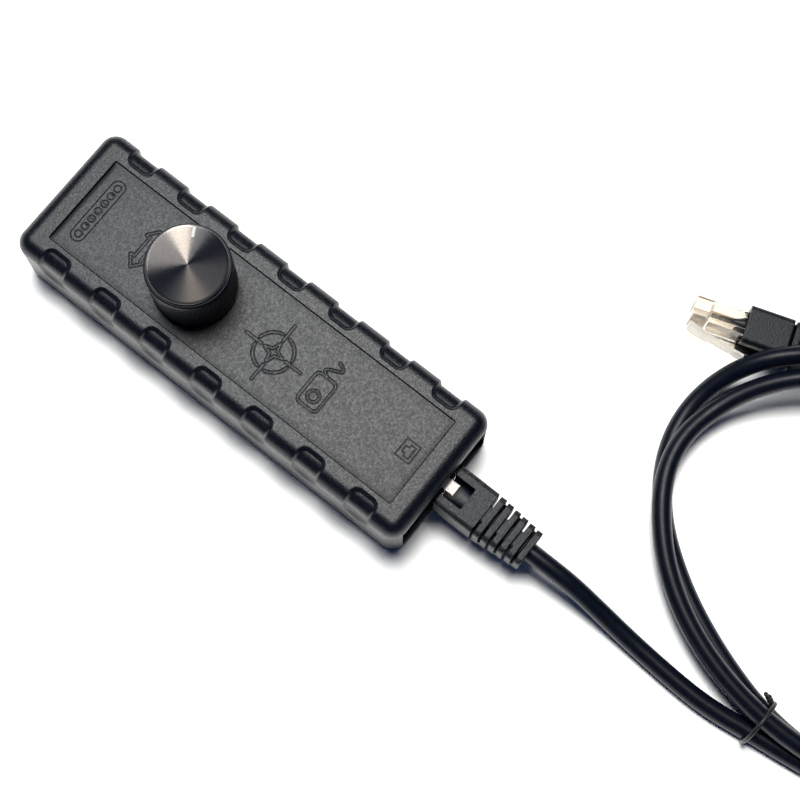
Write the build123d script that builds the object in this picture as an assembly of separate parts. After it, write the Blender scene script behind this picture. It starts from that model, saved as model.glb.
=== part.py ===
from build123d import *
# Telescope focuser hand controller with its plug-in lead.
#
# Frame: origin at the bottom centre of the case, +Z up out of the label plate,
# +Y towards the knob end, -Y towards the socket end. Millimetres.
import math
import os

# Case
LENGTH, WIDTH, HEIGHT = 133.0, 42.6, 24.0
SPLIT = 8.0                      # height of the parting line
CORNER, TOP_ROUND, BASE_ROUND = 4.6, 4.2, 1.2
CAVITY_W, CAVITY_R = 38.2, 2.8
CAVITY_Y = (-64.6, 63.8)
FLOOR, CEILING = 2.2, 20.4
TONGUE_H, TONGUE_T, TONGUE_GAP = 1.5, 0.9, 0.1
RECESS_W, RECESS_Z = 35.6, (3.1, 20.2)

# Grip scallops along both sides
SCALLOPS, SCALLOP_PITCH, SCALLOP_W = 7, 17.6, 8.8
SCALLOP_DEPTH, SCALLOP_INNER_X, SCALLOP_LOW_Z, SCALLOP_R = 0.95, 15.3, 10.7, 2.5

# Label plate
PLATE_L, PLATE_W, PLATE_TOP, PLATE_T, PLATE_R = 117.4, 27.8, 23.6, 1.0, 0.4
PLATE_GAP = 0.15

# Case screws (M2.5, from below) and board screws (M2)
CASE_SCREWS = [(-15.2, 58.5), (15.2, 58.5), (-15.2, -56.0), (15.2, -56.0)]
BOSS_R, SINK_R, SINK_TOP, SCREW_HOLE_R = 3.5, 2.5, 3.0, 1.4
BOARD_SCREWS = [(-13.5, -40.0), (13.5, -40.0), (-13.5, 32.0), (13.5, 32.0)]

# Main board, socket and end panel
BOARD_Z, BOARD_W, BOARD_Y = (3.8, 5.4), 34.0, (-62.4, 38.0)
PANEL_Y, PANEL_W, PANEL_Z, PANEL_GAP = (-64.6, -63.0), 37.0, (2.4, 20.2), 0.1
JACK_X, JACK_W, JACK_Y, JACK_Z = 0.8, 15.9, (-64.6, -46.6), (5.4, 18.8)
SOCKET_HALF_W, SOCKET_Z, SOCKET_BACK = 6.0, (7.3, 14.4), -47.4
LATCH_WAY_HALF_W, LATCH_WAY_TOP = 3.3, 17.6
CONTACTS, CONTACT_PITCH = 8, 1.02

# Encoder stack under the knob
KNOB_Y = 19.0
SUB_BOARD_Z, SUB_BOARD_SIDE = (12.7, 13.9), 20.0
HOUSING_W, HOUSING_L, HOUSING_TOP, CHAMBER_Z = 12.4, 13.4, 20.4, (14.6, 19.0)
SHAFT_R, RUN_FIT, FLAT_X = 3.0, 0.05, 2.3
SHAFT_Z, ROTOR_Z, DOME_Z = (16.0, 38.2), (16.4, 18.4), (14.7, 15.4)
BUSH_R, BUSH_TOP = 3.5, 27.0
PRESS_TRAVEL = 0.5
HEADER_PINS, HEADER_PITCH = 5, 2.54

# Knob
KNOB_R, KNOB_Z, KNOB_RECESS_R, KNOB_RECESS_TOP = 11.75, (24.6, 41.8), 7.5, 28.6
CAP_R, CAP_TOP, CAP_SEAT_Z, CAP_NECK_R = 10.85, 43.1, 40.0, 10.3
INDEX_ANGLE, INDEX_R, INDEX_W = 29.4, (7.4, 10.4), 0.8
GRUB_Z, GRUB_R = 31.0, 1.5

# Lead: plug, boot and cord
CORD_R = 2.7
PLUG_W, PLUG_NOSE, PLUG_STEP, PLUG_REAR = 11.7, 15.1, 2.0, -8.0
PLUG_LOW, PLUG_HIGH, PLUG_SHOULDER = -4.0, 2.5, 3.6
WIRE_BAY_W, WIRE_BAY_Z, WIRE_Y, WIRE_R, WIRE_Z = 8.8, (-2.9, 0.7), (2.7, 9.9), 0.48, -1.1
BOOT_W, BOOT_H, BOOT_MID, BOOT_BLOCK, BOOT_END = 13.3, 11.2, -0.75, -12.5, -28.0
BOOT_CORNER, RIB_CORNER, CORE_R = 1.3, 1.6, 2.9
RIBS, RIB_PITCH, RIB_T = 6, 2.58, 1.85
RIB_W, RIB_H, BRIDGE_W = (13.1, 11.1), (10.7, 9.2), 2.5
LEVER_PIN, LEVER_BEND, LEVER_END = (14.2, 3.2), (12.6, 3.7), (-2.8, 4.3)
LEVER_T, LEVER_W, WING_W, WING_START = 1.1, 3.25, 6.0, 7.8
NEAR_PLUG = Location((JACK_X, -66.9, 11.6))
FAR_PLUG = Plane(origin=(87.28, -103.63, 6.65), x_dir=(0, 0, 1), z_dir=(-0.949, -0.316, 0))
FAR_LEVER_LIFT = 10.0            # a lever that no socket holds down stands up this far

# The cord from the near boot down to the table and on to the coil
RUN = [(0.8, -94.9, 10.85), (0.8, -101.0, 10.85), (0.95, -109.0, 9.3), (0.5, -119.0, 5.7),
       (-0.4, -130.0, 3.4), (-1.2, -141.5, 2.9), (-1.7, -152.0, 2.8), (-1.3, -160.0, 2.75),
       (-0.4, -166.5, 2.75)]

# Coil: an oval of two to three turns lying on the table
COIL_AT, COIL_OUTER, COIL_INNER, COIL_TOP = (55.4, -178.0), (57.6, 76.0), (43.5, 64.0), 11.0
HUMP_AT, HUMP_DIR, HUMP_TOP, HUMP_HALF, HUMP_FOOT = (91.0, -122.0), (0.62, -0.785), 19.0, 18.0, 45.0
TIE_Y, TIE_W, TIE_T = -171.0, 1.6, 0.8


def slab(x, y, z):
    """A block between two corners, each axis given as (low, high)."""
    middle = [(low + high) / 2 for low, high in (x, y, z)]
    return Pos(*middle) * Box(x[1] - x[0], y[1] - y[0], z[1] - z[0])


def rod(x, y, z, radius):
    return Pos(x, y, (z[0] + z[1]) / 2) * Cylinder(radius, z[1] - z[0])


def tile(width, y, radius, z):
    """An upright rounded rectangle, centred on x = 0."""
    outline = Pos(0, (y[0] + y[1]) / 2, z[0]) * RectangleRounded(width, y[1] - y[0], radius)
    return extrude(outline, z[1] - z[0])


def ring_of(radius, hole, z, x=0.0, y=KNOB_Y):
    return rod(x, y, z, radius) - rod(x, y, (z[0] - 1, z[1] + 1), hole)


def rounded_case(z_low, z_high, inset=0.0):
    """The outside of the case between two heights, or a copy pulled inwards all round."""
    half = LENGTH / 2 - inset
    solid = tile(WIDTH - 2 * inset, (-half, half), CORNER - inset, (z_low, z_high))
    return fillet(solid.edges().group_by(Axis.Z)[-1], TOP_ROUND - inset)


def cavity(z_low, z_high, grow=0.0):
    y = (CAVITY_Y[0] - grow, CAVITY_Y[1] + grow)
    return tile(CAVITY_W + 2 * grow, y, CAVITY_R + grow, (z_low, z_high))


def end_opening():
    return slab((-RECESS_W / 2, RECESS_W / 2), (-LENGTH / 2 - 1, CAVITY_Y[0] + 1), RECESS_Z)


def panel_slot():
    """Square ends for the cavity, so that the end panel fits behind the lip."""
    half = PANEL_W / 2 + PANEL_GAP
    return slab((-half, half), (PANEL_Y[0], PANEL_Y[1] + PANEL_GAP), (FLOOR, CEILING))


def panel_ribs(z_low, z_high):
    """Two ribs that trap the end panel against the lip."""
    side = (RECESS_W / 2 + 0.1, CAVITY_W / 2 + 0.4)
    y = (PANEL_Y[1] + PANEL_GAP, PANEL_Y[1] + PANEL_GAP + 1)
    return slab(side, y, (z_low, z_high)) + slab((-side[1], -side[0]), y, (z_low, z_high))


def scallop_cutters():
    """Pockets of even depth that follow the rounded edge of the case."""
    reach = WIDTH / 2 + 1
    width = 2 * (reach - SCALLOP_INNER_X)
    outline = RectangleRounded(width, SCALLOP_W, SCALLOP_R)
    first = -(SCALLOPS - 1) / 2 * SCALLOP_PITCH
    places = [Pos(side * reach, first + i * SCALLOP_PITCH, SCALLOP_LOW_Z)
              for i in range(SCALLOPS) for side in (-1, 1)]
    pockets = [extrude(place * outline, HEIGHT) for place in places]
    kept = rounded_case(0, HEIGHT - SCALLOP_DEPTH, SCALLOP_DEPTH)
    return [pocket - kept for pocket in pockets]


def case_top():
    solid = rounded_case(SPLIT, HEIGHT)
    for cutter in scallop_cutters():
        solid -= cutter
    solid -= cavity(SPLIT - 1, CEILING)
    solid -= cavity(SPLIT - 1, SPLIT + TONGUE_H + TONGUE_GAP, TONGUE_T + TONGUE_GAP)
    solid -= panel_slot()
    solid += panel_ribs(SPLIT + TONGUE_H + 1, CEILING + 0.5)
    for x, y in CASE_SCREWS:
        solid += rod(x, y, (SPLIT, CEILING + 0.5), BOSS_R)
        solid -= rod(x, y, (SPLIT - 1, 17.0), 1.3)
    half = PLATE_L / 2 + PLATE_GAP
    pocket = (PLATE_TOP - PLATE_T, HEIGHT + 1)
    solid -= tile(PLATE_W + 2 * PLATE_GAP, (-half, half), PLATE_R + PLATE_GAP, pocket)
    solid -= rod(0, KNOB_Y, (CEILING - 1, HEIGHT), BUSH_R + 0.1)
    return solid - end_opening()


def case_bottom():
    half = LENGTH / 2
    solid = tile(WIDTH, (-half, half), CORNER, (0, SPLIT))
    solid = fillet(solid.edges().group_by(Axis.Z)[0], BASE_ROUND)
    tongue = cavity(SPLIT - 1, SPLIT + TONGUE_H, TONGUE_T)
    solid += tongue
    solid -= cavity(FLOOR, HEIGHT)
    solid -= panel_slot()
    solid += panel_ribs(FLOOR - 0.5, SPLIT)
    for x, y in CASE_SCREWS:
        solid += rod(x, y, (FLOOR - 0.5, SPLIT - 0.05), BOSS_R)
        solid -= rod(x, y, (-1, SPLIT + 1), SCREW_HOLE_R)
        solid -= rod(x, y, (-1, SINK_TOP), SINK_R)
    for x, y in BOARD_SCREWS:
        solid += rod(x, y, (FLOOR - 0.5, BOARD_Z[0]), 2.5)
        solid -= rod(x, y, (0.9, BOARD_Z[0] + 1), 1.05)
    return solid - end_opening()


def end_panel():
    x = (-PANEL_W / 2, PANEL_W / 2)
    hole = slab((JACK_X - JACK_W / 2 - 0.15, JACK_X + JACK_W / 2 + 0.15),
                (PANEL_Y[0] - 1, PANEL_Y[1] + 1), (JACK_Z[0] - 0.15, JACK_Z[1] + 0.15))
    return slab(x, PANEL_Y, PANEL_Z) - hole


def label_plate():
    z = (PLATE_TOP - PLATE_T, PLATE_TOP)
    half = PLATE_L / 2
    return tile(PLATE_W, (-half, half), PLATE_R, z) - rod(0, KNOB_Y, (20, 25), BUSH_R + 0.1)


def case_screws():
    """Four pan-head screws with a cross recess, driven from below."""
    screws = []
    for x, y in CASE_SCREWS:
        screw = rod(x, y, (1.0, SINK_TOP), 2.3) + rod(x, y, (SINK_TOP, 15.5), 1.25)
        for size in ((2.6, 0.6), (0.6, 2.6)):
            screw -= Pos(x, y, 1.4) * Box(*size, 1.0)
        screws.append(screw)
    return Compound(screws)


def circuit_board():
    board = tile(BOARD_W, BOARD_Y, 1.0, BOARD_Z)
    for x, y in CASE_SCREWS[2:]:
        board -= rod(x, y, (0, 10), BOSS_R + 0.4)
        board -= slab((min(x, 4 * x), max(x, 4 * x)), (y - 3.9, y + 3.9), (0, 10))
    for x, y in BOARD_SCREWS:
        board -= rod(x, y, (0, 10), 1.1)
    return board


def board_screws():
    screws = []
    for x, y in BOARD_SCREWS:
        head = rod(x, y, (BOARD_Z[1], BOARD_Z[1] + 1.3), 1.9)
        head -= Pos(x, y, BOARD_Z[1] + 1.1) * Box(0.5, 2.4, 1.0)
        screws.append(head + rod(x, y, (1.1, BOARD_Z[1]), 1.0))
    return Compound(screws)


def controller_chip():
    """A square flat package with its corner mark dimple."""
    z = BOARD_Z[1]
    chip = slab((-3.5, 3.5), (-13.5, -6.5), (z, z + 0.9))
    return chip - rod(-2.6, -7.4, (z + 0.8, z + 1), 0.4)


def board_components():
    """Chip capacitors, resistors and a crystal beside the controller chip."""
    z = BOARD_Z[1]
    parts = [slab((x - 0.8, x + 0.8), (y - 0.4, y + 0.4), (z, z + 0.6))
             for x in (-8.0, 8.0) for y in (-18.0, -14.0, -10.0, -6.0)]
    parts += [slab((x - 0.4, x + 0.4), (y - 0.8, y + 0.8), (z, z + 0.6))
              for x in (-4.0, 0.0, 4.0) for y in (-20.0, 1.0)]
    parts.append(slab((-13.0, -10.5), (-12.0, -7.0), (z, z + 1.2)))
    return Compound(parts)


def header_places():
    xs = [(i - (HEADER_PINS - 1) / 2) * HEADER_PITCH for i in range(HEADER_PINS)]
    return [(x, KNOB_Y + side * 8.4) for side in (-1, 1) for x in xs]


def board_headers():
    """Two pin strips and two socket strips that stack the encoder board."""
    half = HEADER_PINS * HEADER_PITCH / 2
    strips = []
    for side in (-1, 1):
        y = KNOB_Y + side * 8.4
        for z in ((BOARD_Z[1], BOARD_Z[1] + 2.5), (SUB_BOARD_Z[0] - 2.5, SUB_BOARD_Z[0])):
            strip = slab((-half, half), (y - 1.2, y + 1.2), z)
            for x, row in header_places():
                strip -= Pos(x, row, sum(z) / 2) * Box(0.74, 0.74, 4)
            strips.append(strip)
    return Compound(strips)


def header_pins():
    z = (BOARD_Z[1], SUB_BOARD_Z[0])
    return Compound([slab((x - 0.32, x + 0.32), (y - 0.32, y + 0.32), z)
                     for x, y in header_places()])


def encoder_board():
    half = SUB_BOARD_SIDE / 2
    return tile(SUB_BOARD_SIDE, (KNOB_Y - half, KNOB_Y + half), 0.8, SUB_BOARD_Z)


def encoder_housing():
    y = (KNOB_Y - HOUSING_L / 2, KNOB_Y + HOUSING_L / 2)
    solid = slab((-HOUSING_W / 2, HOUSING_W / 2), y, (SUB_BOARD_Z[1], HOUSING_TOP))
    solid -= rod(0, KNOB_Y, CHAMBER_Z, 5.3)
    return solid - rod(0, KNOB_Y, (CHAMBER_Z[1] - 1, HOUSING_TOP + 1), SHAFT_R + 0.15)


def encoder_bushing():
    return ring_of(BUSH_R, SHAFT_R + RUN_FIT, (HOUSING_TOP, BUSH_TOP))


def encoder_washer():
    return ring_of(5.4, BUSH_R + 0.05, (PLATE_TOP, PLATE_TOP + 0.5))


def encoder_nut():
    z = PLATE_TOP + 0.5
    nut = extrude(Pos(0, KNOB_Y, z) * RegularPolygon(5.0, 6, major_radius=False), 2.0)
    nut = nut - rod(0, KNOB_Y, (z - 1, z + 3), BUSH_R + 0.05)
    return chamfer(nut.faces().sort_by(Axis.Z)[-1].outer_wire().edges(), 0.3)


def encoder_pins():
    """Solder tails below the encoder board: three for turning, two for the switch."""
    places = [(x, KNOB_Y - 5.2) for x in (-2.5, 0, 2.5)] + [(x, KNOB_Y + 5.2) for x in (-2.5, 2.5)]
    z = (SUB_BOARD_Z[0] - 1.6, SUB_BOARD_Z[0])
    return Compound([rod(x, y, z, 0.45) for x, y in places])


def flat_sided(radius, flat, z):
    """A round bar with one flat, as on a D shaft."""
    bar = rod(0, KNOB_Y, z, radius)
    return bar - slab((flat, radius + 1), (KNOB_Y - 5, KNOB_Y + 5), (z[0] - 1, z[1] + 1))


def switch_dome():
    dome = rod(0, KNOB_Y, DOME_Z, 4.0)
    return chamfer(dome.edges().group_by(Axis.Z)[-1], 0.4)


def encoder_rotor():
    disc = rod(0, KNOB_Y, ROTOR_Z, 5.0)
    return disc - flat_sided(SHAFT_R + RUN_FIT, FLAT_X + RUN_FIT, (ROTOR_Z[0] - 1, ROTOR_Z[1] + 1))


def encoder_shaft():
    """A round shaft in its bushing, with a flat where the knob and the rotor grip it."""
    shoulder = ROTOR_Z[1] + PRESS_TRAVEL + 0.2
    round_part = rod(0, KNOB_Y, (shoulder, KNOB_RECESS_TOP), SHAFT_R)
    low = flat_sided(SHAFT_R, FLAT_X, (SHAFT_Z[0], shoulder))
    high = flat_sided(SHAFT_R, FLAT_X, (KNOB_RECESS_TOP, SHAFT_Z[1]))
    return low + round_part + high


def knob_body():
    solid = rod(0, KNOB_Y, KNOB_Z, KNOB_R)
    solid = chamfer(solid.edges().group_by(Axis.Z)[0], 0.4)
    solid = chamfer(solid.edges().group_by(Axis.Z)[-1], 0.35)
    solid -= rod(0, KNOB_Y, (KNOB_Z[0] - 1, KNOB_RECESS_TOP), KNOB_RECESS_R)
    solid -= rod(0, KNOB_Y, (CAP_SEAT_Z, KNOB_Z[1] + 1), CAP_NECK_R + 0.05)
    solid -= flat_sided(SHAFT_R + 0.01, FLAT_X + 0.01, (KNOB_RECESS_TOP - 1, SHAFT_Z[1] + 0.1))
    grub = Plane(origin=(0, KNOB_Y, GRUB_Z), x_dir=(0, 1, 0), z_dir=(1, 0, 0))
    return solid - grub * Pos(0, 0, KNOB_R / 2) * Cylinder(GRUB_R + 0.05, KNOB_R)


def index_inlay(low, half_width):
    bar = slab(INDEX_R, (-half_width, half_width), (low, CAP_TOP + 1))
    return Pos(0, KNOB_Y, 0) * Rot(0, 0, INDEX_ANGLE) * bar


def knob_cap():
    """The spun top disc, with its thin neck sunk in the knob."""
    neck = rod(0, KNOB_Y, (CAP_SEAT_Z, 42.2), CAP_NECK_R)
    disc = rod(0, KNOB_Y, (42.2, CAP_TOP), CAP_R)
    disc = chamfer(disc.edges().group_by(Axis.Z)[-1], 0.3)
    return neck + disc - index_inlay(CAP_TOP - 0.3, INDEX_W / 2 + 0.02)


def knob_index_line():
    return index_inlay(CAP_TOP - 0.3, INDEX_W / 2) & rod(0, KNOB_Y, (CAP_TOP - 1, CAP_TOP), CAP_R)


def knob_set_screw():
    grub = Plane(origin=(0, KNOB_Y, GRUB_Z), x_dir=(0, 1, 0), z_dir=(1, 0, 0))
    screw = grub * Pos(0, 0, FLAT_X + 0.05 + 3.0) * Cylinder(GRUB_R, 6.0)
    socket = grub * Pos(0, 0, FLAT_X + 6.0) * extrude(RegularPolygon(0.8, 6), 1.0, both=True)
    return screw - socket


def contact_xs():
    return [(i - (CONTACTS - 1) / 2) * CONTACT_PITCH for i in range(CONTACTS)]


def jack_housing():
    x = (JACK_X - JACK_W / 2, JACK_X + JACK_W / 2)
    solid = slab(x, JACK_Y, JACK_Z)
    mouth = JACK_Y[0] - 1
    hole_x = (JACK_X - SOCKET_HALF_W, JACK_X + SOCKET_HALF_W)
    solid -= slab(hole_x, (mouth, SOCKET_BACK), SOCKET_Z)
    way_x = (JACK_X - LATCH_WAY_HALF_W, JACK_X + LATCH_WAY_HALF_W)
    solid -= slab(way_x, (mouth, SOCKET_BACK - 1.0), (SOCKET_Z[0], LATCH_WAY_TOP))
    for dx in contact_xs():
        slot = (JACK_X + dx - 0.25, JACK_X + dx + 0.25)
        solid -= slab(slot, (-60.0, JACK_Y[1] + 1), (6.7, 7.5))
    return solid


def jack_contacts():
    """Eight spring wires along the socket floor, turned down to the board behind it."""
    wires = []
    for dx in contact_xs():
        x = (JACK_X + dx - 0.17, JACK_X + dx + 0.17)
        foot = slab(x, (JACK_Y[1] + 0.1, JACK_Y[1] + 0.5), (BOARD_Z[1], 7.2))
        wires.append(slab(x, (-59.8, JACK_Y[1] + 0.5), (6.85, 7.4)) + foot)
    return Compound(wires)


def plug():
    """The clear plug: +y is its nose, +z its latch side, y = 0 the front of its boot."""
    half = PLUG_W / 2
    solid = slab((-half, half), (PLUG_STEP, PLUG_NOSE), (PLUG_LOW, PLUG_HIGH))
    solid += slab((-half, half), (PLUG_REAR, PLUG_STEP), (PLUG_LOW, PLUG_SHOULDER))
    solid -= slab((-2.6, 2.6), (PLUG_REAR - 1, PLUG_STEP), (PLUG_HIGH - 0.5, PLUG_SHOULDER + 1))
    solid -= slab((-WIRE_BAY_W / 2, WIRE_BAY_W / 2), (PLUG_REAR - 1, WIRE_Y[1] + 0.1), WIRE_BAY_Z)
    for x in contact_xs():
        solid -= slab((x - 0.25, x + 0.25), (PLUG_NOSE - 4.9, PLUG_NOSE + 1), (PLUG_LOW - 1, -0.6))
    return solid


def plug_contacts():
    y = (PLUG_NOSE - 4.7, PLUG_NOSE - 0.3)
    return Compound([slab((x - 0.17, x + 0.17), y, (PLUG_LOW + 0.2, -0.8)) for x in contact_xs()])


def plug_wires():
    """Eight insulated wires side by side between the jacket and the contacts."""
    wire = Rot(90, 0, 0) * Cylinder(WIRE_R, WIRE_Y[1] - WIRE_Y[0])
    return Compound([Pos(x, sum(WIRE_Y) / 2, WIRE_Z) * wire for x in contact_xs()])


def jacket_end():
    """The end of the cord's jacket, pressed flat inside the plug."""
    profile = Plane.YZ * Polygon((-8.0, -2.7), (2.5, -2.3), (2.5, 0.1), (-8.0, 0.5), align=None)
    return extrude(profile, 2.7, both=True)


def latch_lever(lift=0.0):
    """The latch lever, on a round root at the nose; lift raises its free end."""
    half, path = LEVER_T / 2, (LEVER_PIN, LEVER_BEND, LEVER_END)
    upper, lower = [(y, z + half) for y, z in path], [(y, z - half) for y, z in path]
    profile = Plane.YZ * Polygon(*upper, *lower[::-1], align=None)
    bar = extrude(profile, LEVER_W / 2, both=True)
    wings = extrude(profile, WING_W / 2, both=True) & slab((-4, 4), (WING_START, PLUG_NOSE), (0, 8))
    pin = Pos(0, *LEVER_PIN) * Rot(0, 90, 0) * Cylinder(half, WING_W)
    lever = bar + wings + pin
    return Pos(0, *LEVER_PIN) * Rot(-lift, 0, 0) * Pos(0, -LEVER_PIN[0], -LEVER_PIN[1]) * lever


def boot_section(y):
    """The plane across the boot at y, on the boot's own middle line."""
    return Plane(origin=(0, y, BOOT_MID), x_dir=(1, 0, 0), z_dir=(0, 1, 0))


def boot():
    """The moulded boot: a sleeve on the plug, then ribs that taper down to the cord."""
    solid = extrude(boot_section(0) * RectangleRounded(BOOT_W, BOOT_H, BOOT_CORNER), BOOT_BLOCK)
    solid -= slab((-5.95, 5.95), (PLUG_REAR - 0.2, 1), (PLUG_LOW - 0.1, PLUG_SHOULDER + 0.1))
    solid -= slab((-3.35, 3.35), (-6.7, 1), (0, BOOT_H))
    solid += extrude(boot_section(BOOT_END) * Circle(CORE_R), BOOT_BLOCK - BOOT_END)
    for i in range(RIBS):
        start = BOOT_BLOCK - i * RIB_PITCH
        taper = i / (RIBS - 1)
        width = RIB_W[0] + (RIB_W[1] - RIB_W[0]) * taper
        height = RIB_H[0] + (RIB_H[1] - RIB_H[0]) * taper
        rib = RectangleRounded(width, height, RIB_CORNER)
        solid += extrude(boot_section(start - RIB_PITCH) * rib, RIB_T)
        if i % 2 == 0:
            bridge = Rectangle(BRIDGE_W, height)
            solid += extrude(boot_section(start - RIB_PITCH + RIB_T - 0.1) * bridge, RIB_PITCH - RIB_T + 0.2)
    return solid


def fillet_radii(points):
    """The largest arcs that the runs on each side of a corner allow."""
    radii = []
    for a, b, c in zip(points, points[1:], points[2:]):
        before, after = Vector(b) - Vector(a), Vector(c) - Vector(b)
        turn = math.radians(before.get_angle(after))
        radii.append(0.45 * min(before.length, after.length) / math.tan(turn / 2))
    return radii


def lead_run():
    radii = fillet_radii(RUN)
    path = FilletPolyline(*RUN, radius=radii)
    start = Plane(origin=path @ 0, z_dir=path % 0)
    tube = sweep(start * Circle(CORD_R), path=path)
    expected = math.pi * CORD_R ** 2 * path.length
    print("cord radii", [round(r) for r in radii], "length", round(path.length, 1))
    print("cord volume", round(tube.volume, 1), "section times length", round(expected, 1))
    return tube


def hump():
    """What the coil's top is raised to where it passes over the far boot."""
    normal = (HUMP_DIR[1], -HUMP_DIR[0], 0)
    side = Plane(origin=(*HUMP_AT, 0), x_dir=(*HUMP_DIR, 0), z_dir=normal)
    profile = Polygon((-HUMP_FOOT, 0), (-HUMP_FOOT, COIL_TOP), (-HUMP_HALF, HUMP_TOP),
                      (HUMP_HALF, HUMP_TOP), (HUMP_FOOT, COIL_TOP), (HUMP_FOOT, 0), align=None)
    return extrude(side * profile, 60, both=True)


def lead_coil():
    """The outer shape of the loose oval coil, with room for the far boot under it."""
    at = Pos(*COIL_AT, 0)
    shape = extrude(at * (Ellipse(*COIL_OUTER) - Ellipse(*COIL_INNER)), HUMP_TOP)
    low = slab((-10, 130), (-270, -90), (0, COIL_TOP))
    way = slab((-6.9, 6.9), (BOOT_END, 30), (BOOT_MID - BOOT_H / 2 - 0.2, BOOT_MID + BOOT_H / 2 + 0.2))
    return shape & (low + hump()) - FAR_PLUG * way


def twist_tie():
    """A wire tie over the coil, its ends twisted together on the inner side."""
    y = (TIE_Y - TIE_W / 2, TIE_Y + TIE_W / 2)
    band = slab((-2.9, 13.1), y, (0, 11.9)) - slab((-2.9 + TIE_T, 13.1 - TIE_T), y, (-1, 11.9 - TIE_T))
    return band + Pos(14.2, TIE_Y, 5.0) * Rot(0, 90, 0) * Cylinder(1.05, 2.8)


def far(shape):
    return FAR_PLUG * shape


def near(shape):
    return NEAR_PLUG * shape


PARTS = {
    "case_top": case_top(),
    "case_bottom": case_bottom(),
    "end_panel": end_panel(),
    "label_plate": label_plate(),
    "case_screws": case_screws(),
    "circuit_board": circuit_board(),
    "board_screws": board_screws(),
    "controller_chip": controller_chip(),
    "board_components": board_components(),
    "board_headers": board_headers(),
    "header_pins": header_pins(),
    "encoder_board": encoder_board(),
    "encoder_housing": encoder_housing(),
    "encoder_bushing": encoder_bushing(),
    "encoder_washer": encoder_washer(),
    "encoder_nut": encoder_nut(),
    "encoder_pins": encoder_pins(),
    "switch_dome": switch_dome(),
    "encoder_rotor": encoder_rotor(),
    "encoder_shaft": encoder_shaft(),
    "knob_body": knob_body(),
    "knob_cap": knob_cap(),
    "knob_index_line": knob_index_line(),
    "knob_set_screw": knob_set_screw(),
    "jack_housing": jack_housing(),
    "jack_contacts": jack_contacts(),
    "near_plug": near(plug()),
    "near_plug_contacts": near(plug_contacts()),
    "near_plug_wires": near(plug_wires()),
    "near_jacket_end": near(jacket_end()),
    "near_latch": near(latch_lever()),
    "near_boot": near(boot()),
    "lead_run": lead_run(),
    "lead_coil": lead_coil(),
    "twist_tie": twist_tie(),
    "far_plug": far(plug()),
    "far_plug_contacts": far(plug_contacts()),
    "far_plug_wires": far(plug_wires()),
    "far_jacket_end": far(jacket_end()),
    "far_latch": far(latch_lever(FAR_LEVER_LIFT)),
    "far_boot": far(boot()),
}

os.makedirs("parts", exist_ok=True)
for name, shape in PARTS.items():
    export_step(shape, f"parts/{name}.step")
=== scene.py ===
"""Looks of the hand controller: a scalloped black case, a spun knob and its patch lead.

Lengths are written in millimetres, in the row's frame, and MM turns them into metres.
"""

import math

import bmesh
import bpy
import numpy as np
from mathutils import Matrix, Vector


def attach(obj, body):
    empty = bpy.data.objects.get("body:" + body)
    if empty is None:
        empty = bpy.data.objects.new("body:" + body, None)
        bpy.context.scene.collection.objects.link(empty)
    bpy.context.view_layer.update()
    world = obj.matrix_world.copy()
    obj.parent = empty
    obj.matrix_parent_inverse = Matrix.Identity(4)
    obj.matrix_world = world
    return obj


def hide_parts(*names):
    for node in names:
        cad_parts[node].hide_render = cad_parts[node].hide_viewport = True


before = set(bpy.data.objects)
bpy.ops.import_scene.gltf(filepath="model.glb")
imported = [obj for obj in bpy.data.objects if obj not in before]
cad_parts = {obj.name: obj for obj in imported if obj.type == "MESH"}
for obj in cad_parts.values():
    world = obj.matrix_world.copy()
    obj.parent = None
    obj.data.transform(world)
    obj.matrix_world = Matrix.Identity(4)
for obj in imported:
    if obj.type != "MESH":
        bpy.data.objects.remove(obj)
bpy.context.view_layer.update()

MM = 0.001

# ---------------------------------------------------------------- camera and lights
CAMERA_AT = (-76.4, -106.5, 468.9)
CAMERA_TURN = (13.44, -0.495, -51.73)
CAMERA_LENS = 77.74

COOL_BOX = {"at": (200, 470, 1200), "aim": (0, 60, 0), "size": (460, 420), "power": 4.3,
            "colour": (0.93, 0.97, 1.0)}
WARM_BOX = {"at": (215, 105, 1200), "aim": (0, -60, 0), "size": (460, 380), "power": 7.4,
            "colour": (1.0, 0.985, 0.94)}
# The knob's spun face takes its fans of light from lights that only it receives.
FAN_AIM = (0, 19, 43)
FANS = {"fan_bright": {"at": (482, 681, 617), "size": (290, 300), "power": 17.0, "colour": (1.0, 0.90, 0.79)},
        "fan_left": {"at": (60, 720, 740), "size": (600, 300), "power": 6.2, "colour": (1.0, 0.96, 0.93)},
        "fan_right": {"at": (588, 461, 721), "size": (240, 300), "power": 1.8, "colour": (0.92, 0.98, 1.0)},
        "fan_fill": {"at": (100, 100, 1500), "size": (2000, 2000), "power": 1.5, "colour": (0.50, 0.72, 1.0)}}
# The paper under the object has a broad light that only it receives, so that it stays white.
FLOOR_BOX = {"at": (400, 290, 1700), "aim": (0, -60, 0), "size": (780, 780), "power": 45.0,
             "colour": (1.0, 0.995, 0.985)}
WORLD_COLOUR, FLOOR_GREY, FLOOR_SIZE = (0.010, 0.021, 0.062), 0.90, 9.0

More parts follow.
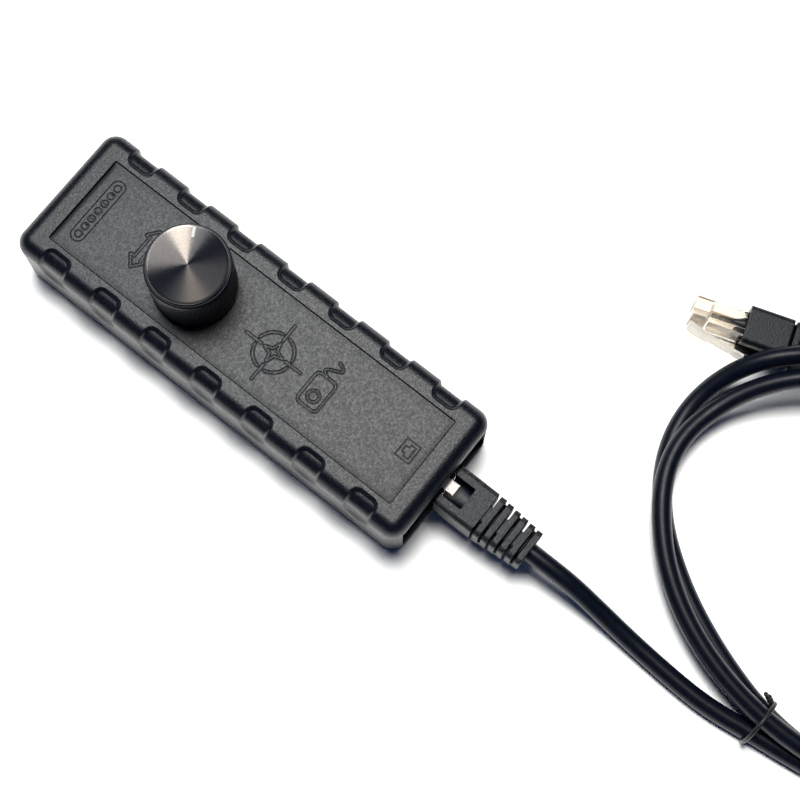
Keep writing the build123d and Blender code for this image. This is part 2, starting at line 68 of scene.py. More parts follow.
# ---------------------------------------------------------------- case
LENGTH, WIDTH, HEIGHT, SPLIT = 133.0, 42.6, 24.0, 8.0
CORNER, TOP_ROUND = 4.6, 4.2
CAVITY_HALF_W, CAVITY_R, CAVITY_NEAR, CAVITY_FAR, CEILING = 19.1, 2.8, -64.6, 63.8, 20.4
OPENING_HALF_W, OPENING_TOP, OPENING_CHAMFER = 17.8, 20.2, 0.2
PLATE_HALF_W, PLATE_HALF_L, PLATE_R, PLATE_TOP, PLATE_T = 13.87, 58.67, 0.4, 23.6, 1.0
PLATE_GAP = 0.18
SCALLOPS, SCALLOP_PITCH, SCALLOP_HALF_W = 7, 17.6, 4.4
SCALLOP_DEPTH, SCALLOP_SLOPE, SCALLOP_INNER_X, SCALLOP_LOW_Z = 0.95, 1.1, 15.3, 10.7
SCALLOP_R_IN, SCALLOP_R_OUT = 2.5, 4.3
KNOB_Y, BUSH_HOLE_R = 19.0, 3.6

# ---------------------------------------------------------------- knob
KNOB_R, KNOB_LOW, KNOB_HIGH = 11.75, 24.6, 41.8
KNURLS, KNURL_DEPTH = 148, 0.13
CAP_R, CAP_TOP, CAP_CROWN = 10.85, 43.1, 0.10
CAP_CONE = 0.11

# ---------------------------------------------------------------- lead
CORD_R = 2.7
RUN = [(0.8, -94.9, 10.85), (0.8, -101.0, 10.85), (0.95, -109.0, 9.3), (0.5, -119.0, 5.7),
       (-0.4, -130.0, 3.4), (-1.2, -141.5, 2.9), (-1.7, -152.0, 2.8), (-1.3, -160.0, 2.75),
       (-0.4, -166.5, 2.75)]
COIL_AT, COIL_HALF = (55.4, -178.0), (50.6, 70.0)
POINTS_PER_TURN = 36
# How far the cord lies outside the base oval, and its height, at turning angles from the tie on.
COIL_KEYS = [(190, 3.0, 2.75), (230, 2.0, 2.75), (270, 1.5, 2.75), (320, 2.5, 2.75), (360, 3.6, 3.4),
             (382, 3.4, 7.6), (395, 3.0, 14.4), (406, 3.5, 16.1), (417, 4.3, 15.4), (427, 4.95, 10.6),
             (435, 4.7, 5.6), (446, 3.3, 2.9), (455, 2.0, 2.75), (470, -0.4, 2.75), (490, -2.9, 2.75),
             (505, -3.5, 2.75), (517, -3.0, 2.75), (530, -1.4, 2.75), (545, -0.2, 2.75), (575, 1.0, 4.5),
             (610, -1.5, 8.1), (650, -2.0, 8.1), (700, -3.6, 8.1), (732, -3.2, 10.0),
             (748, -3.0, 14.6), (762, -2.9, 16.1), (776, -3.0, 15.2), (789, -2.2, 11.0), (801, -1.55, 8.4),
             (814, -0.2, 8.2), (825, 0.4, 8.2), (838, -0.1, 8.2), (852, 0.5, 8.2), (868, 1.1, 8.2),
             (885, 1.2, 8.2), (900, 0.8, 8.2), (930, -0.5, 6.0), (965, -4.2, 2.75), (1010, -4.6, 2.75),
             (1050, -3.4, 2.75), (1080, -1.8, 2.75), (1092, -0.6, 3.0)]
TAIL = [(102.7, -152.0, 3.6), (100.8, -143.2, 5.0), (98.75, -135.65, 6.5), (96.85, -129.96, 6.65)]
NEAR_PLUG_AT = (0.8, -66.9, 11.6)
FAR_PLUG_AT, FAR_NOSE, FAR_LATCH = (87.28, -103.63, 6.65), (-0.316, 0.949, 0), (-0.949, -0.316, 0)
BOOT_MID, WIRE_PITCH = -0.75, 1.02
TIE_AT, TIE_HALF_W, TIE_HALF_H, TIE_WIRE_R, TIE_LOW_Z = (3.2, -170.2, 5.4), 6.6, 5.9, 0.62, 0.75
TWIST_FROM, TWIST_ALONG, TWIST_R, TWIST_HALF_TURNS = (9.2, -169.8, 5.6), (1.3, 2.3, -0.6), 0.6, 3


# ================================================================ small helpers
def smooth_step(t):
    t = np.clip(t, 0, 1)
    return t * t * (3 - 2 * t)


def new_object(name, data):
    obj = bpy.data.objects.new(name, data)
    bpy.context.scene.collection.objects.link(obj)
    return obj


def mesh_piece(name, points, faces, place=None, smooth_angle=40):
    """A mesh from points in millimetres, with smooth shading except at edges past an angle."""
    mesh = bpy.data.meshes.new(name)
    mesh.from_pydata([Vector(p) * MM for p in points], [], [list(map(int, f)) for f in faces])
    if place is not None:
        mesh.transform(place)
    tidy = bmesh.new()
    tidy.from_mesh(mesh)
    bmesh.ops.recalc_face_normals(tidy, faces=tidy.faces)
    for edge in tidy.edges:
        flat = len(edge.link_faces) == 2 and edge.calc_face_angle(0) < math.radians(smooth_angle)
        edge.smooth = flat
    tidy.to_mesh(mesh)
    tidy.free()
    mesh.polygons.foreach_set("use_smooth", [True] * len(mesh.polygons))
    return new_object(name, mesh)


def tube_faces(rings, around):
    """Faces between rings of points that follow each other, and one over each end."""
    faces = []
    for i in range(rings - 1):
        for k in range(around):
            m = (k + 1) % around
            faces.append((i * around + k, i * around + m, (i + 1) * around + m, (i + 1) * around + k))
    last = (rings - 1) * around
    return [*faces, list(range(around))[::-1], list(range(last, last + around))]


def finish_piece(obj, body, slot, material, *nodes):
    """Gives a piece its material and says what it rides on and stands for."""
    obj.data.materials.clear()
    obj.data.materials.append(material)
    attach(obj, body)
    if nodes:
        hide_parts(*nodes)
    return obj


def plug_frame(at, nose, latch):
    """The matrix of a plug: local y points out of its nose and local z to its latch side."""
    y, z = Vector(nose).normalized(), Vector(latch).normalized()
    x = y.cross(z)
    matrix = Matrix((x, y, z)).transposed().to_4x4()
    matrix.translation = Vector(at) * MM
    return matrix


NEAR = plug_frame(NEAR_PLUG_AT, (0, 1, 0), (0, 0, 1))
FAR = plug_frame(FAR_PLUG_AT, FAR_NOSE, FAR_LATCH)


# ================================================================ materials
class Shader:
    """A node material that starts from one Principled BSDF, in object coordinates."""

    def __init__(self, name, **sockets):
        self.material = bpy.data.materials.new(name)
        self.material.use_nodes = True
        self.tree = self.material.node_tree
        self.nodes, self.links = self.tree.nodes, self.tree.links
        self.bsdf = self.nodes["Principled BSDF"]
        self.coords = self.nodes.new("ShaderNodeTexCoord")
        for socket, value in sockets.items():
            self.bsdf.inputs[socket.replace("_", " ")].default_value = value

    def noise(self, size_mm, detail=2.0, rough=0.5, stretch=(1, 1, 1)):
        mapping = self.nodes.new("ShaderNodeMapping")
        mapping.inputs["Scale"].default_value = stretch
        self.links.new(self.coords.outputs["Object"], mapping.inputs["Vector"])
        noise = self.nodes.new("ShaderNodeTexNoise")
        noise.inputs["Scale"].default_value = 1 / (size_mm * MM)
        noise.inputs["Detail"].default_value = detail
        noise.inputs["Roughness"].default_value = rough
        self.links.new(mapping.outputs["Vector"], noise.inputs["Vector"])
        return noise.outputs["Fac"]

    def ramp(self, value, stops):
        ramp = self.nodes.new("ShaderNodeValToRGB")
        elements = ramp.color_ramp.elements
        while len(elements) < len(stops):
            elements.new(0.5)
        for element, (at, colour) in zip(elements, stops):
            element.position = at
            element.color = (*colour, 1)
        self.links.new(value, ramp.inputs["Fac"])
        return ramp.outputs["Color"]

    def range(self, value, low, high, from_low=0.3, from_high=0.7):
        remap = self.nodes.new("ShaderNodeMapRange")
        remap.inputs["From Min"].default_value = from_low
        remap.inputs["From Max"].default_value = from_high
        remap.inputs["To Min"].default_value = low
        remap.inputs["To Max"].default_value = high
        self.links.new(value, remap.inputs["Value"])
        return remap.outputs["Result"]

    def to(self, value, socket):
        self.links.new(value, self.bsdf.inputs[socket])

    def bump(self, value, height_mm, strength=1.0):
        bump = self.nodes.new("ShaderNodeBump")
        bump.inputs["Distance"].default_value = height_mm * MM
        bump.inputs["Strength"].default_value = strength
        self.links.new(value, bump.inputs["Height"])
        if self.bsdf.inputs["Normal"].is_linked:
            self.links.new(self.bsdf.inputs["Normal"].links[0].from_socket, bump.inputs["Normal"])
        self.links.new(bump.outputs["Normal"], self.bsdf.inputs["Normal"])


def grained(name, dark, light, rough, grain_mm, height_mm, **sockets):
    """Moulded plastic with a fine spark-eroded grain and slight unevenness."""
    s = Shader(name, **sockets)
    grain = s.noise(grain_mm, detail=3.0, rough=0.6)
    s.to(s.ramp(grain, [(0.36, dark), (0.66, light)]), "Base Color")
    s.to(s.range(s.noise(grain_mm * 1.7, detail=2.0), rough - 0.07, rough + 0.08), "Roughness")
    s.bump(grain, height_mm)
    return s.material


def metal(name, dark, light, rough, scratch_mm=0.25, **sockets):
    """Plated or turned metal with faint brushing and fingerprints."""
    s = Shader(name, Metallic=1.0, **sockets)
    brushing = s.noise(scratch_mm, detail=2.0, stretch=(1, 1, 6))
    s.to(s.ramp(brushing, [(0.3, dark), (0.7, light)]), "Base Color")
    s.to(s.range(s.noise(3.0, detail=3.0), rough * 0.8, rough * 1.25), "Roughness")
    s.bump(brushing, 0.002)
    return s.material


def spun_metal():
    """Black anodised aluminium, faced on a lathe: fine rings that spread the light into fans."""
    s = Shader("knob_spun_face", Metallic=1.0, Anisotropic=0.93, Anisotropic_Rotation=0.25)
    tangent = s.nodes.new("ShaderNodeTangent")
    tangent.direction_type, tangent.axis = "RADIAL", "Z"
    s.links.new(tangent.outputs["Tangent"], s.bsdf.inputs["Tangent"])
    radius = ring_distance(s)
    rings = s.nodes.new("ShaderNodeTexNoise")
    rings.noise_dimensions = "1D"
    rings.inputs["Scale"].default_value = 1 / (0.09 * MM)
    rings.inputs["Detail"].default_value = 2.0
    s.links.new(radius, rings.inputs["W"])
    s.to(s.ramp(rings.outputs["Fac"], [(0.3, (0.090, 0.088, 0.090)), (0.7, (0.135, 0.128, 0.122))]),
         "Base Color")
    s.to(s.range(rings.outputs["Fac"], 0.27, 0.34), "Roughness")
    s.bump(rings.outputs["Fac"], 0.0012)
    cone = s.nodes.new("ShaderNodeMath")
    cone.operation = "MULTIPLY"
    cone.inputs[1].default_value = -CAP_CONE
    s.links.new(radius, cone.inputs[0])
    s.bump(cone.outputs["Value"], 1000.0)
    return s.material


def ring_distance(s):
    """The distance from the knob's axis."""
    split = s.nodes.new("ShaderNodeVectorMath")
    split.operation = "MULTIPLY"
    split.inputs[1].default_value = (1, 1, 0)
    shift = s.nodes.new("ShaderNodeVectorMath")
    shift.operation = "SUBTRACT"
    shift.inputs[1].default_value = (0, KNOB_Y * MM, 0)
    length = s.nodes.new("ShaderNodeVectorMath")
    length.operation = "LENGTH"
    s.links.new(s.coords.outputs["Object"], shift.inputs[0])
    s.links.new(shift.outputs["Vector"], split.inputs[0])
    s.links.new(split.outputs["Vector"], length.inputs[0])
    return length.outputs["Value"]


def knurled_metal():
    s = Shader("knob_knurled", Metallic=0.85)
    wear = s.noise(0.5, detail=4.0)
    s.to(s.ramp(wear, [(0.35, (0.004, 0.005, 0.008)), (0.75, (0.010, 0.011, 0.016))]), "Base Color")
    s.to(s.range(wear, 0.32, 0.45), "Roughness")
    s.bump(wear, 0.004)
    return s.material


def cord_vinyl():
    s = Shader("cord_vinyl", Specular_IOR_Level=0.30)
    streaks = s.noise(1.6, detail=4.0)
    s.to(s.ramp(streaks, [(0.3, (0.0020, 0.0040, 0.0110)), (0.7, (0.0050, 0.0080, 0.0180))]), "Base Color")
    s.to(s.range(s.noise(0.7, detail=3.0), 0.33, 0.42), "Roughness")
    s.bump(streaks, 0.012)
    s.bump(s.noise(0.22, detail=2.0), 0.0015)
    return s.material


def clear_plastic(name, flow_mm, clarity):
    """Moulded clear plastic that lets lamps through, so that what lies under it stays lit."""
    s = Shader(name, Transmission_Weight=clarity, IOR=1.46, Base_Color=(0.94, 0.905, 0.845, 1))
    flow = s.noise(2.6, detail=2.0)
    s.to(s.range(flow, 0.05, 0.11), "Roughness")
    s.bump(flow, flow_mm)
    kinds = ("LightPath", "BsdfTransparent", "MixShader")
    lamp, through, mix = [s.nodes.new("ShaderNode" + kind) for kind in kinds]
    through.inputs["Color"].default_value = (0.76, 0.72, 0.66, 1)
    s.links.new(lamp.outputs["Is Shadow Ray"], mix.inputs["Fac"])
    s.links.new(s.bsdf.outputs["BSDF"], mix.inputs[1])
    s.links.new(through.outputs["BSDF"], mix.inputs[2])
    s.links.new(mix.outputs["Shader"], s.nodes["Material Output"].inputs["Surface"])
    return s.material


def wire_pairs(name, axis, middle):
    """Eight insulated wires side by side, coloured by their place along an axis."""
    s = Shader(name, Roughness=0.35)
    split = s.nodes.new("ShaderNodeSeparateXYZ")
    s.links.new(s.coords.outputs["Object"], split.inputs["Vector"])
    pitch = WIRE_PITCH * MM
    place = s.range(split.outputs[axis], 0.0, 1.0, middle * MM - 4 * pitch, middle * MM + 4 * pitch)
    white = (0.75, 0.72, 0.68)
    colours = [(0.70, 0.52, 0.42), (0.62, 0.30, 0.14), (0.55, 0.64, 0.53), (0.12, 0.20, 0.45),
               (0.50, 0.57, 0.66), (0.12, 0.32, 0.16), white, (0.34, 0.24, 0.18)]
    ramp = s.ramp(place, [(i / 8, colour) for i, colour in enumerate(colours)])
    ramp.node.color_ramp.interpolation = "CONSTANT"
    s.to(ramp, "Base Color")
    s.bump(s.noise(0.4), 0.01)
    return s.material


def board_green():
    s = Shader("solder_mask", Roughness=0.3)
    bricks = s.nodes.new("ShaderNodeTexBrick")
    bricks.inputs["Scale"].default_value = 220
    bricks.inputs["Color1"].default_value = (0.008, 0.08, 0.03, 1)
    bricks.inputs["Color2"].default_value = (0.01, 0.11, 0.04, 1)
    bricks.inputs["Mortar"].default_value = (0.02, 0.17, 0.07, 1)
    bricks.inputs["Mortar Size"].default_value = 0.06
    s.links.new(s.coords.outputs["Object"], bricks.inputs["Vector"])
    s.to(bricks.outputs["Color"], "Base Color")
    s.bump(bricks.outputs["Fac"], 0.02)
    return s.material


M = {
    "rim": grained("case_grain", (0.0012, 0.0024, 0.0070), (0.0052, 0.0072, 0.0140), 0.35, 0.44, 0.080),
    "plate": grained("plate_grain", (0.0014, 0.0026, 0.0070), (0.0052, 0.0072, 0.0140), 0.38, 0.37, 0.052),
    "base": grained("base_grain", (0.0012, 0.0024, 0.0070), (0.0036, 0.0056, 0.0125), 0.38, 0.40, 0.030),
    "boot": grained("boot_vinyl", (0.0014, 0.0028, 0.0070), (0.0080, 0.0115, 0.0190), 0.37, 0.46, 0.120,
                    IOR=1.47),
    "jack": grained("jack_nylon", (0.0030, 0.0034, 0.0060), (0.0070, 0.0075, 0.0110), 0.45, 0.25, 0.008),
    "tie": grained("tie_coating", (0.012, 0.012, 0.015), (0.035, 0.035, 0.04), 0.42, 0.35, 0.02),
    "white": grained("index_white", (0.80, 0.79, 0.76), (0.95, 0.94, 0.92), 0.30, 0.30, 0.004),
    "rotor": grained("rotor_nylon", (0.55, 0.54, 0.5), (0.7, 0.69, 0.65), 0.45, 0.4, 0.01),
    "ceramic": grained("ceramic_tan", (0.35, 0.27, 0.18), (0.5, 0.4, 0.28), 0.35, 0.3, 0.006),
    "knurled": knurled_metal(),
    "spun": spun_metal(),
    "steel": metal("plated_steel", (0.45, 0.45, 0.46), (0.7, 0.7, 0.71), 0.22),
    "black_steel": metal("black_zinc", (0.05, 0.05, 0.055), (0.12, 0.12, 0.13), 0.35),
    "grey_case": metal("encoder_can", (0.35, 0.35, 0.36), (0.5, 0.5, 0.52), 0.33),
    "gold": metal("contact_gold", (0.62, 0.53, 0.42), (0.82, 0.74, 0.62), 0.40),
    "cord": cord_vinyl(),
    "clear": clear_plastic("clear_body", 0.005, 1.0),
    "clear_lever": clear_plastic("clear_lever", 0.001, 0.62),
    "green": board_green(),
    "near_wires": wire_pairs("near_wires", "X", NEAR_PLUG_AT[0]),
    "far_wires": wire_pairs("far_wires", "Z", FAR_PLUG_AT[2]),
}


# ================================================================ the case's top shell
def opening_angle():
    """The corner's angle at which its arc meets the side of the end opening."""
    return math.asin((OPENING_HALF_W + OPENING_CHAMFER - (WIDTH / 2 - CORNER)) / CORNER)


def corner_angles(count):
    """Angles over a corner from the end of the case to its side, one of them at the opening."""
    a = opening_angle()
    first = np.linspace(0, a, 4)
    return np.concatenate([first, np.linspace(a, math.pi / 2, count - 3)[1:]])


CORNER_ANGLES = corner_angles(13)
LONG_STEPS, END_STEPS = 488, 36


def ring(half_w, near, far, radius, z, angles=CORNER_ANGLES):
    """A rounded rectangle with the same number of points whatever its size, from near +x round."""
    inner_w = half_w - radius
    rows = []
    for side, end in ((1, near + radius), (1, far - radius), (-1, far - radius), (-1, near + radius)):
        outward = -1 if end == near + radius else 1
        arc = [(side * (inner_w + radius * math.sin(a)), end + outward * radius * math.cos(a))
               for a in angles]
        from_end = (side, outward) in ((1, -1), (-1, 1))
        rows.append(arc if from_end else arc[::-1])
    points = []
    for i, arc in enumerate(rows):
        points += arc
        steps = LONG_STEPS if i % 2 == 0 else END_STEPS
        a, b = np.array(arc[-1]), np.array(rows[(i + 1) % 4][0])
        points += [tuple(a + (b - a) * k / steps) for k in range(1, steps)]
    return np.column_stack([np.array(points), np.full(len(points), z)])


def cavity_angle(a):
    """The cavity's corner angle that keeps the opening's sides square to the wall."""
    edge = opening_angle()
    inner = math.asin((OPENING_HALF_W - (CAVITY_HALF_W - CAVITY_R)) / CAVITY_R)
    if a <= edge:
        wanted = (WIDTH / 2 - CORNER + CORNER * math.sin(a)) * OPENING_HALF_W
        wanted /= OPENING_HALF_W + OPENING_CHAMFER
        return math.asin(max(0.0, wanted - (CAVITY_HALF_W - CAVITY_R)) / CAVITY_R)
    return inner + (a - edge) * (math.pi / 2 - inner) / (math.pi / 2 - edge)


def hole_ring(like, radius, z):
    """A circle round the knob's axis, its points in line with those of another ring."""
    angle = np.arctan2(like[:, 1] - KNOB_Y, like[:, 0])
    return np.column_stack([radius * np.cos(angle), KNOB_Y + radius * np.sin(angle),
                            np.full(len(like), z)])


def scallop_depth(along, y):
    """How far the surface is pressed in, at a way out over the edge and a place along the side."""
    arc = TOP_ROUND * math.pi / 2
    flat = WIDTH / 2 - TOP_ROUND - SCALLOP_INNER_X
    reach = flat + arc + (HEIGHT - TOP_ROUND - SCALLOP_LOW_Z)
    nearest = np.clip(np.round(y / SCALLOP_PITCH), -(SCALLOPS // 2), SCALLOPS // 2)
    across = np.abs(y - nearest * SCALLOP_PITCH)
    radius = np.where(along < reach / 2, SCALLOP_R_IN, SCALLOP_R_OUT)
    u = np.abs(along - reach / 2) - (reach / 2 - radius)
    v = across - (SCALLOP_HALF_W - radius)
    outside = np.hypot(np.maximum(u, 0), np.maximum(v, 0)) + np.minimum(np.maximum(u, v), 0) - radius
    slope = SCALLOP_SLOPE + 1.6 * smooth_step((along - reach + 5) / 5)
    pressed = SCALLOP_DEPTH * smooth_step(-outside / slope)
    return pressed * (0.62 + 0.38 * smooth_step(along / 3.6))


def outer_rows():
    """The rings over the outside, from the plate's pocket to the parting line, with scallops."""
    rows = []
    half_w, half_l = WIDTH / 2, LENGTH / 2
    gap_w, gap_l = PLATE_HALF_W + PLATE_GAP, PLATE_HALF_L + PLATE_GAP
    inner = ring(gap_w + 0.12, -gap_l - 0.12, gap_l + 0.12, PLATE_R + 0.2, HEIGHT)
    edge = ring(half_w - TOP_ROUND, TOP_ROUND - half_l, half_l - TOP_ROUND, CORNER - TOP_ROUND, HEIGHT)
    up = np.tile([0.0, 0.0, 1.0], (len(edge), 1))
    for t in np.linspace(0, 1, 13):
        rows.append((inner + (edge - inner) * t, up, None))
    base = ring(half_w, -half_l, half_l, CORNER, 0)
    flat = base - edge * [1, 1, 0]
    outward = flat / np.linalg.norm(flat[:, :2], axis=1)[:, None]
    outward[:, 2] = 0
    for a in np.linspace(0, math.pi / 2, 24)[1:]:
        points = edge + outward * TOP_ROUND * math.sin(a) - up * TOP_ROUND * (1 - math.cos(a))
        rows.append((points, outward * math.sin(a) + up * math.cos(a), TOP_ROUND * a))
    for z in np.linspace(HEIGHT - TOP_ROUND, SPLIT + 0.2, 35)[1:]:
        way = TOP_ROUND * math.pi / 2 + HEIGHT - TOP_ROUND - z
        rows.append((base * [1, 1, 0] + up * z, outward, way))
    pressed = []
    for points, normal, way in rows:
        flat_way = WIDTH / 2 - TOP_ROUND - SCALLOP_INNER_X
        along = np.abs(points[:, 0]) - SCALLOP_INNER_X if way is None else flat_way + way
        depth = scallop_depth(np.broadcast_to(along, len(points)), points[:, 1])
        on_side = smooth_step((np.abs(normal[:, 0]) + normal[:, 2] - 0.9) * 10) if way is not None else 1
        pressed.append(points - normal * (depth * on_side)[:, None])
    return pressed


def case_top_shell():
    """The whole top shell as one closed skin, with the opening for the socket cut in its end."""
    half_w, half_l = WIDTH / 2, LENGTH / 2
    gap_w, gap_l = PLATE_HALF_W + PLATE_GAP, PLATE_HALF_L + PLATE_GAP
    pocket_z = PLATE_TOP - PLATE_T
    inner_angles = [cavity_angle(a) for a in CORNER_ANGLES]
    pocket = ring(gap_w, -gap_l, gap_l, PLATE_R + PLATE_GAP, pocket_z)
    lip = ring(gap_w, -gap_l, gap_l, PLATE_R + PLATE_GAP, HEIGHT - 0.12)
    parting = ring(half_w - 0.2, 0.2 - half_l, half_l - 0.2, CORNER - 0.2, SPLIT)
    cavity = [ring(CAVITY_HALF_W, CAVITY_NEAR, CAVITY_FAR, CAVITY_R, z, inner_angles)
              for z in (SPLIT, OPENING_TOP, CEILING)]
    outside = outer_rows()
    rows = [hole_ring(pocket, BUSH_HOLE_R, pocket_z), pocket, lip, *outside, parting, *cavity,
            hole_ring(cavity[2], BUSH_HOLE_R, CEILING)]
    count = len(pocket)
    points = np.concatenate(rows)

    # The opening: columns between its two sides, rows from its top down to the parting line.
    heights = [row[0, 2] for row in rows]
    last_out = 2 + len(outside)
    top_row = max(i for i in range(3, last_out) if heights[i] >= OPENING_TOP + OPENING_CHAMFER - 0.15)
    edge_x = OPENING_HALF_W + OPENING_CHAMFER
    base = ring(half_w, -half_l, half_l, CORNER, 0)
    inside = np.flatnonzero((np.abs(base[:, 0]) <= edge_x + 1e-6) & (base[:, 1] < 0))
    columns = set(np.concatenate([inside[base[inside, 0] < 0], inside[base[inside, 0] >= 0]]).tolist())
    first = next(j for j in sorted(columns) if (j - 1) % count not in columns)
    run = [(first + k) % count for k in range(len(columns))]
    parting_row, cavity_low, cavity_high = last_out + 1, last_out + 2, last_out + 3

    faces = []
    for i in range(len(rows)):
        nxt = (i + 1) % len(rows)
        gone = top_row <= i < cavity_high
        for j in range(count):
            k = (j + 1) % count
            if gone and j in columns and k in columns:
                continue
            faces.append((i * count + j, i * count + k, nxt * count + k, nxt * count + j))

    extra, chamfer_y = [], 0.3
    start = len(points)

    def add(x, y, z):
        extra.append((x, y, z))
        return start + len(extra) - 1

    top = []
    for j in run:
        x, y, _ = rows[top_row][j]
        top.append(add(x * OPENING_HALF_W / edge_x, y + chamfer_y, OPENING_TOP))
    sides = []
    for j, corner in ((run[0], top[0]), (run[-1], top[-1])):
        column = [corner]
        for i in range(top_row + 1, parting_row + 1):
            x, y, z = rows[i][j]
            column.append(add(math.copysign(OPENING_HALF_W, x), y + chamfer_y, min(z, OPENING_TOP)))
        sides.append((j, column))
    for a, b, j, k in zip(top, top[1:], run, run[1:]):
        faces.append((top_row * count + j, top_row * count + k, b, a))
        faces.append((a, b, cavity_high * count + k, cavity_high * count + j))
    for j, column in sides:
        for n, i in enumerate(range(top_row, parting_row)):
            faces.append((i * count + j, (i + 1) * count + j, column[n + 1], column[n]))
        faces.append([*column, cavity_low * count + j, cavity_high * count + j])
        faces.append((parting_row * count + j, column[-1], cavity_low * count + j))
    points = np.concatenate([points, np.array(extra)])
    return mesh_piece("case_top_shell", points, faces)


# ================================================================ the label plate
def arc_points(x, y, radius, start, end, steps=40):
    angles = np.radians(np.linspace(start, end, steps))
    return [(x + radius * math.cos(a), y + radius * math.sin(a)) for a in angles]


def star_points(x, y, outer, inner, points=4):
    star = [(x + r * math.sin(a), y + r * math.cos(a))
            for a, r in ((math.pi * i / points, (outer, inner)[i % 2]) for i in range(2 * points))]
    return [*star, star[0]]


def pill_points(x0, x1, y, radius):
    right = arc_points(x1 - radius, y, radius, -90, 90, 20)
    left = arc_points(x0 + radius, y, radius, 90, 270, 20)
    return [*right, *left, right[0]]


def strip_mark():
    """A pill that holds the phases of the moon."""
    marks = [pill_points(-10.4, 10.4, 53.35, 2.05)]
    for i in range(7):
        x, bulge = (i - 3) * 2.72, (1.0, 0.55, 0.0, -0.55, 0.0, 0.55, 1.0)[i]
        marks.append(arc_points(x, 53.35, 1.0, 0, 360, 20))
        marks.append([(x + bulge * math.cos(a), 53.35 + math.sin(a)) for a in np.linspace(-1.5, 1.5, 10)])
    return marks


def turn_mark():
    """A broad arrow that points both ways."""
    right = [(3.0, 37.4), (3.0, 38.6), (5.9, 36.3), (3.0, 34.0), (3.0, 35.2)]
    left = [(-3.7, 35.2), (-3.7, 34.0), (-6.6, 36.3), (-3.7, 38.6), (-3.7, 37.4)]
    return [[*right, *left, right[0]]]


def reticle_mark():
    """A finder's reticle: a broken ring with four arms and a star in the middle."""
    x, y, radius = -1.2, -9.1, 5.6
    marks = [arc_points(x, y, radius, 90 * i + 12, 90 * i + 78) for i in range(4)]
    for i in range(4):
        a = math.pi / 2 * i
        inner, outer = 4.2, 9.2
        marks.append([(x + inner * math.cos(a), y + inner * math.sin(a)),
                      (x + outer * math.cos(a), y + outer * math.sin(a))])
    marks.append(star_points(x, y, 3.0, 1.1))
    return marks


def controller_mark():
    """A small picture of a hand unit with its knob and a wavy lead."""
    y, corners = -25.0, [(0.9, -26.9, -90), (0.9, -23.1, 0), (-6.0, -23.1, 90), (-6.0, -26.9, 180)]
    body = [p for cx, cy, a in corners for p in arc_points(cx, cy, 1.4, a, a + 90, 8)]
    lead = [(2.3 + 5.2 * t, y + 2.0 * math.sin(2 * math.pi * t)) for t in np.linspace(0, 1, 24)]
    return [[*body, body[0]], arc_points(-4.0, y, 1.6, 0, 360), lead]


def socket_mark():
    """The outline of a modular socket in a frame."""
    frame_line = [(-2.8, -56.1), (2.7, -56.1), (2.7, -51.6), (-2.8, -51.6), (-2.8, -56.1)]
    port = [(-1.8, -55.2), (1.7, -55.2), (1.7, -53.6), (0.9, -53.6), (0.9, -52.5), (-1.0, -52.5),
            (-1.0, -53.6), (-1.8, -53.6), (-1.8, -55.2)]
    return [frame_line, port]


# Each group of marks, its box (low x, high x, low y, high y) and how far its grooves are from the line.
MARKS = [(strip_mark(), (-11.4, 11.4, 50.6, 56.1), 0.0), (turn_mark(), (-8.2, 8.2, 32.8, 39.8), 0.38),
         (reticle_mark(), (-11.4, 9.0, -19.3, 1.1), 0.38),
         (controller_mark(), (-8.6, 8.6, -29.6, -20.4), 0.36), (socket_mark(), (-3.6, 3.6, -56.9, -50.8), 0.0)]
GROOVE_DEPTH, GROOVE_HALF_W, FINE_STEP, COARSE_STEP = 0.30, 0.20, 0.085, 1.2


def grid_lines(low, high, fine_spans):
    """Places along an axis: close together over the spans that hold marks, wider elsewhere."""
    places = [low]
    while places[-1] < high - 1e-6:
        at = places[-1]
        fine = any(a - 1e-6 <= at < b - 1e-6 for a, b in fine_spans)
        ahead = [a for a, _ in fine_spans if a > at + 1e-6]
        step = FINE_STEP if fine else COARSE_STEP
        places.append(min([at + step, high] + ([] if fine else ahead)))
    return np.array(places)


def line_distance(x, y, line):
    """The distance from each point to a line through points."""
    best = np.full(x.shape, 1e9)
    for (ax, ay), (bx, by) in zip(line, line[1:]):
        dx, dy = bx - ax, by - ay
        t = np.clip(((x - ax) * dx + (y - ay) * dy) / max(dx * dx + dy * dy, 1e-12), 0, 1)
        best = np.minimum(best, np.hypot(x - ax - t * dx, y - ay - t * dy))
    return best


def groove_depth(x, y):
    depth = np.zeros(x.shape)
    for lines, (x0, x1, y0, y1), offset in MARKS:
        near = (x > x0) & (x < x1) & (y > y0) & (y < y1)
        distance = np.full(near.sum(), 1e9)
        for line in lines:
            distance = np.minimum(distance, line_distance(x[near], y[near], line))
        fall = 1 - np.abs(distance - offset) / GROOVE_HALF_W
        depth[near] = np.maximum(depth[near], GROOVE_DEPTH * smooth_step(fall * 1.8))
    return depth


